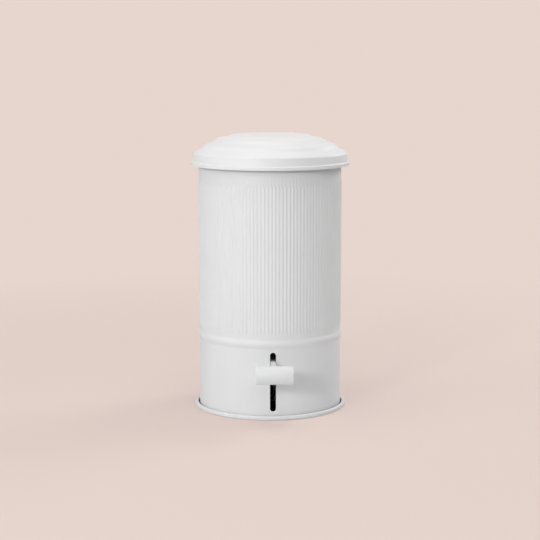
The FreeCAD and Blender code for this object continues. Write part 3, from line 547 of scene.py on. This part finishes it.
tube_low, tube_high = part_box("pedal_tube")
pedal_axis = Vector((0, (tube_low.y + tube_high.y) / 2, (tube_low.z + tube_high.z) / 2))
pedal_radius = (tube_high.z - tube_low.z) / 2
pedal_wall = 0.0015
tube_bore = pedal_radius - pedal_wall
tube_edge = 0.0004
lay_down = Matrix.Translation(pedal_axis) @ Matrix.Rotation(math.radians(90), 4, "Y")
pedal_tube = turned("pedal_tube_painted", rounded([
    (tube_bore, tube_low.x, 0), (pedal_radius, tube_low.x, tube_edge),
    (pedal_radius, tube_high.x, tube_edge), (tube_bore, tube_high.x, 0),
], steps=4), columns=128, place=lay_down)
pedal_tube.data.materials.append(white_enamel)
nose_wide, nose_tall = 0.0080, 0.0146
nose_cut_end = pedal_axis.y + pedal_radius * 1.5
carve(pedal_tube, slot_cutter(nose_wide, pedal_axis.z - nose_tall / 2, pedal_axis.z + nose_tall / 2,
                              pedal_axis.y, nose_cut_end))
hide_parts("pedal_tube")
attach(pedal_tube, "pedal")

cap_plastic = make_sprayed_paint("cap_plastic", (0.83, 0.83, 0.83, 1), (0.81, 0.81, 0.81, 1),
                                 roughness=0.3, peel_depth=0.00001)
axle_bore = 0.00303
cap_roll, cap_edge, plug_edge = 0.0006, 0.0003, 0.0004
for side, sign in (("left", -1), ("right", 1)):
    cap_low, cap_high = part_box(f"pedal_cap_{side}")
    plug_end, face = (cap_high.x, cap_low.x) if sign < 0 else (cap_low.x, cap_high.x)
    seat = tube_low.x if sign < 0 else tube_high.x
    bore_floor = seat - sign * cap_roll
    cap = turned(f"pedal_cap_{side}_moulded", rounded([
        (0, face, 0), (pedal_radius, face, cap_roll), (pedal_radius, seat, cap_edge), (tube_bore, seat, 0),
        (tube_bore, plug_end, plug_edge), (axle_bore, plug_end, 0), (axle_bore, bore_floor, 0),
        (0, bore_floor, 0),
    ]), columns=128, place=lay_down)
    cap.data.materials.append(cap_plastic)
    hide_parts(f"pedal_cap_{side}")
    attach(cap, "pedal")

# Lid: a steel disc pressed into shallow steps, with a sloping skirt and a turned-out lip.
# It is sprayed white outside, with its inside painted near-black as painted shade that darkens the crease
# under the lip;
# it hangs on the hinge arm riveted inside its skirt and rests on rubber pads.

lid_low, lid_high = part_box("lid_shell")
lid_radius = lid_high.x
lid_top = lid_high.z
tier_round = 0.005
skirt_round = 0.004
lip_crease, lip_round = 0.0006, 0.0014
# Each corner of the crown is (in from the lip's edge, down from the top, arc radius).
lid_corners = [
    (0.0620, 0, tier_round), (0.0545, 0.0025, tier_round), (0.0402, 0.0052, tier_round),
    (0.0327, 0.0103, tier_round), (0.0212, 0.0143, tier_round), (0.0174, 0.0187, tier_round),
    (0.0041, 0.0265, skirt_round), (0.0024, 0.0383, lip_crease), (0, 0.0388, lip_round),
]


def thickened(path, thickness):
    """Closes an open path into the outline of a sheet, by a second path set off to its right."""
    offset = []
    for index, point in enumerate(path):
        before = path[max(index - 1, 0)]
        after = path[min(index + 1, len(path) - 1)]
        along = (Vector(after) - Vector(before)).normalized()
        offset.append(Vector(point) + Vector((along.y, -along.x)) * thickness)
    offset[0].x = max(offset[0].x, 0)
    return list(path) + offset[::-1]


crown = [(0, lid_top, 0)] + [(lid_radius - inset, lid_top - drop, arc) for inset, drop, arc in lid_corners]
skin_path = rounded(crown + [(lid_radius, lid_low.z, 0)], steps=8)
lid = turned("lid_stepped", thickened(skin_path, sheet), columns=256, inside_from=len(skin_path))
lid.data.materials.append(white_enamel)
# The inside of the lid takes the near-black primer: painted shade.
lid.data.materials.append(painted_shade_primer)
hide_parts("lid_shell")
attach(lid, "lid")
dress(white_enamel, "lid_arm_rivets")
dress(black_rubber, "rim_bumpers")

# Bucket: a black polypropylene pail that stands on the shelf, moulded in one with its turned-down rim,
# two stiffening rings under it and a lug at each side for the bail.

pail_plastic = make_dusty("pail_plastic", (0.022, 0.022, 0.024, 1), (0.09, 0.09, 0.09, 1),
                          amount=0.2, roughness=0.5, grain_scale=900, grain_depth=0.00003)
pail_low, pail_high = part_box("bucket_pail")
bail_axis = joint_place("bail_swing")
bail_rise = 0.0058
pail_top = bail_axis.z - bail_rise
pail_wall = 0.0018
pail_floor = pail_low.z + pail_wall
pail_rim = pail_high.x
rim_overhang, pail_taper = 0.003, 0.007
pail_mouth = pail_rim - rim_overhang
pail_foot = pail_mouth - pail_taper
foot_round = 0.004
flange, flange_edge, flange_tall = 0.0012, 0.0004, 0.005
rim_round, mouth_round = 0.0014, 0.0012
stiffener_drops = (0.016, 0.024)
stiffener_proud, stiffener_half, stiffener_run, stiffener_round = 0.001, 0.0014, 0.0026, 0.0006
stiffener_section = ((-stiffener_run, 0), (-stiffener_half, stiffener_proud),
                     (stiffener_half, stiffener_proud), (stiffener_run, 0))


def pail_radius(height):
    """The tapered wall's outer radius at a height."""
    return pail_foot + (pail_mouth - pail_foot) * (height - pail_low.z) / (pail_top - pail_low.z)


pail_corners = [(0, pail_low.z, 0), (pail_foot, pail_low.z, foot_round)]
for drop in reversed(stiffener_drops):
    for rise, proud in stiffener_section:
        height = pail_top - drop + rise
        pail_corners.append((pail_radius(height) + proud, height, stiffener_round))
flange_under = pail_top - flange
flange_low = pail_top - flange_tall
pail_corners += [
    (pail_radius(flange_under), flange_under, flange_edge), (pail_rim - flange, flange_under, flange_edge),
    (pail_rim - flange, flange_low, flange_edge), (pail_rim, flange_low, flange_edge),
    (pail_rim, pail_top, rim_round), (pail_mouth - pail_wall, pail_top, mouth_round),
    (pail_foot - pail_wall, pail_floor, foot_round), (0, pail_floor, 0),
]
on_bucket = Matrix.Translation((0, bail_axis.y, 0))
pail = turned("bucket_moulded", rounded(pail_corners, steps=4), columns=160, place=on_bucket)
lug_half, lug_thick, lug_drop, lug_bore = 0.007, 0.005, 0.012, 0.00205
lug_inset = 0.0002


def lug(side):
    """A tongue that stands up from the rim, with a round top about the bail's axis."""
    top_steps = 16
    points = [(-lug_half, pail_top - lug_drop), (lug_half, pail_top - lug_drop)]
    for step in range(top_steps + 1):
        angle = math.pi * step / top_steps
        points.append((lug_half * math.cos(angle), bail_axis.z + lug_half * math.sin(angle)))
    shape = bmesh.new()
    faces = []
    for x in (side * (pail_rim - lug_inset), side * (pail_rim - lug_thick)):
        faces.append([shape.verts.new((x, bail_axis.y + y, z)) for y, z in points])
        shape.faces.new(faces[-1])
    for k in range(len(points)):
        shape.faces.new((faces[0][k - 1], faces[0][k], faces[1][k], faces[1][k - 1]))
    return mesh_piece("lug", shape)


def bore_cutter(radius, half_long):
    """A bar along X on the bail's axis."""
    across = Matrix.Translation(bail_axis) @ Matrix.Rotation(math.radians(90), 4, "Y")
    bar = [(0, -half_long), (radius, -half_long), (radius, half_long), (0, half_long)]
    return turned("cutter", bar, columns=32, place=across)


for side in (-1, 1):
    carve(pail, lug(side), "UNION")
past_both_lugs = pail_rim * 1.1
carve(pail, bore_cutter(lug_bore, past_both_lugs))
pail.data.materials.clear()
pail.data.materials.append(pail_plastic)
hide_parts("bucket_pail")
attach(pail, "bucket")

# Bail: a bow of zinc-plated wire that swings in the bucket's lugs, bent in at its ends.
# A ribbed plastic sleeve is pushed on where it is held.

dress(zinc_wire, "bucket_bail")
wire_radius, bow_radius = 0.002, 0.0966
bow_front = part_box("bucket_bail")[0].y + wire_radius
sleeve_fit = 0.00005
sleeve_bore = wire_radius + sleeve_fit
sleeve_radius = 0.0055
sleeve_half = math.radians(20) * bow_radius
end_round = 0.0012
shoulder_in, shoulder_back = 0.0003, 0.0004
plain_end = 0.005
ridge_count, ridge_deep, ridge_rows = 15, 0.0006, 8
ridge_step = (sleeve_half - plain_end) * 2 / ridge_count
sleeve_end = [
    (sleeve_bore, -sleeve_half), (sleeve_radius - end_round, -sleeve_half),
    (sleeve_radius - shoulder_in, -sleeve_half + shoulder_back), (sleeve_radius, -sleeve_half + end_round),
]
sleeve_outline = list(sleeve_end)
for ridge in range(ridge_count):
    for row in range(ridge_rows):
        along = ridge_step * (ridge + row / ridge_rows - ridge_count / 2)
        hollow = ridge_deep * math.sin(math.pi * row / ridge_rows) ** 2
        sleeve_outline.append((sleeve_radius - hollow, along))
sleeve_outline += [(radius, -along) for radius, along in reversed(sleeve_end)]
grip = turned("bail_grip_ribbed", sleeve_outline, columns=40)
for vertex in grip.data.vertices:
    sideways, upward, along = vertex.co
    turn = along / bow_radius
    reach = bow_radius + sideways
    vertex.co = (reach * math.sin(turn), bow_front + bow_radius - reach * math.cos(turn),
                 bail_axis.z + upward)
grip.data.materials.append(pail_plastic)
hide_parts("bail_grip")
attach(grip, "bail")

# Studio: a seamless sheet of warm pale paper, swept up behind the bin, in a bright room.
# A small window and a larger one stand on the left, a weak sheet of light in front and a strong one behind
# on the right, and the largest hangs overhead.

paper_colour = (0.752, 0.631, 0.580, 1)
fibre_colour = (0.742, 0.623, 0.572, 1)
paper_bounce = (0.70, 0.70, 0.70, 1)
paper_glow = 1.07


def seen_rays(nodes, links):
    """A mask of the rays that show a thing to the camera, straight, in a gloss or through glass."""
    ray = nodes.new("ShaderNodeLightPath")
    relayed = combine(nodes, links, "MAXIMUM", ray.outputs["Is Glossy Ray"],
                      ray.outputs["Is Transmission Ray"])
    return combine(nodes, links, "MAXIMUM", ray.outputs["Is Camera Ray"], relayed)


def make_backdrop_paper():
    """Paper that holds the bin's shadow, shows an even colour further off and bounces neutral light."""
    fibre_scale = 300
    near, far = 0.25, 1.3
    near_share, far_share = 0.40, 1.0
    material, nodes, links, shader = new_material("backdrop_paper", 0.9)
    fibre = new_noise(nodes, links, fibre_scale, detail=3)
    tint = mix_colours(nodes, links, fibre.outputs["Fac"], paper_colour, fibre_colour)
    seen = seen_rays(nodes, links)
    links.new(mix_colours(nodes, links, seen, paper_bounce, tint), shader.inputs["Base Color"])
    glow = nodes.new("ShaderNodeEmission")
    glow.inputs["Strength"].default_value = paper_glow
    links.new(tint, glow.inputs["Color"])
    away = nodes.new("ShaderNodeVectorMath")
    away.operation = "LENGTH"
    links.new(nodes.new("ShaderNodeNewGeometry").outputs["Position"], away.inputs[0])
    share = remap(nodes, links, away.outputs["Value"], near_share, far_share, start=near, end=far)
    blend = nodes.new("ShaderNodeMixShader")
    links.new(combine(nodes, links, "MULTIPLY", seen, share), blend.inputs["Fac"])
    links.new(shader.outputs["BSDF"], blend.inputs[1])
    links.new(glow.outputs["Emission"], blend.inputs[2])
    links.new(blend.outputs["Shader"], nodes["Material Output"].inputs["Surface"])
    return material


paper_half, paper_front, paper_back, paper_top = 6.0, -12.0, 1.6, 4.5
sweep, sweep_steps = 1.2, 24
paper_line = [(paper_front, 0)]
for step in range(sweep_steps + 1):
    turn = math.pi / 2 * step / sweep_steps
    paper_line.append((paper_back + sweep * math.sin(turn), sweep * (1 - math.cos(turn))))
paper_line.append((paper_back + sweep, paper_top))
paper_shape = bmesh.new()
edges = [[paper_shape.verts.new((x, y, z)) for y, z in paper_line] for x in (-paper_half, paper_half)]
for k in range(len(paper_line) - 1):
    paper_shape.faces.new((edges[0][k], edges[1][k], edges[1][k + 1], edges[0][k + 1]))
backdrop = mesh_piece("backdrop", paper_shape)
backdrop.data.materials.append(make_backdrop_paper())


def make_studio_air():
    """A white room round the paper, which shows as more of the paper."""
    room_light = 0.30
    world = bpy.data.worlds.new("studio_air")
    world.use_nodes = True
    nodes, links = world.node_tree.nodes, world.node_tree.links
    air = nodes["Background"]
    air.inputs["Color"].default_value = (1, 1, 1, 1)
    air.inputs["Strength"].default_value = room_light
    far_paper = nodes.new("ShaderNodeBackground")
    far_paper.inputs["Color"].default_value = paper_colour
    far_paper.inputs["Strength"].default_value = paper_glow
    blend = nodes.new("ShaderNodeMixShader")
    links.new(seen_rays(nodes, links), blend.inputs["Fac"])
    links.new(air.outputs["Background"], blend.inputs[1])
    links.new(far_paper.outputs["Background"], blend.inputs[2])
    links.new(blend.outputs["Shader"], nodes["World Output"].inputs["Surface"])
    return world


bpy.context.scene.world = make_studio_air()

camera_turn = math.radians(-2.35)
aim_height = 0.2


def add_lamp(name, side_angle, elevation, distance, size, power):
    """A rectangular soft lamp, placed by its angle to the camera's side and its height."""
    turn = camera_turn + math.radians(side_angle)
    rise = math.radians(elevation)
    away = Vector((math.sin(turn) * math.cos(rise), -math.cos(turn) * math.cos(rise), math.sin(rise)))
    light = bpy.data.lights.new(name, "AREA")
    light.shape = "RECTANGLE"
    light.size, light.size_y = size
    light.energy = power
    lamp = bpy.data.objects.new(name, light)
    lamp.location = Vector((0, 0, aim_height)) + away * distance
    lamp.rotation_euler = away.to_track_quat("Z", "Y").to_euler()
    bpy.context.scene.collection.objects.link(lamp)


add_lamp("key_window", side_angle=-28, elevation=16, distance=2.6, size=(0.38, 0.38), power=19.5)
add_lamp("side_window", side_angle=-70, elevation=22, distance=2.6, size=(1.4, 0.8), power=10)
add_lamp("front_sheet", side_angle=15, elevation=30, distance=2.6, size=(1.0, 0.8), power=5)
add_lamp("right_sheet", side_angle=126, elevation=30, distance=2.6, size=(1.2, 0.8), power=22)
add_lamp("overhead_sheet", side_angle=0, elevation=88, distance=2.0, size=(1.6, 1.6), power=17.5)

# Camera: the photograph's viewpoint, a long lens a little above the lid and looking slightly down.
# It stands a little to the left of the bin's front.

camera_distance, camera_height, camera_pitch = 2.3034, 0.548, math.radians(8.54)
camera_data = bpy.data.cameras.new("photo_camera")
camera_data.sensor_width = 36
camera_data.lens = 104.5
camera_data.dof.use_dof = False
camera = bpy.data.objects.new("photo_camera", camera_data)
camera.location = (math.sin(camera_turn) * camera_distance, -math.cos(camera_turn) * camera_distance,
                   camera_height)
camera.rotation_euler = (math.radians(90) - camera_pitch, 0, camera_turn)
bpy.context.scene.collection.objects.link(camera)
bpy.context.scene.camera = camera
bpy.context.scene.view_settings.view_transform = "Standard"
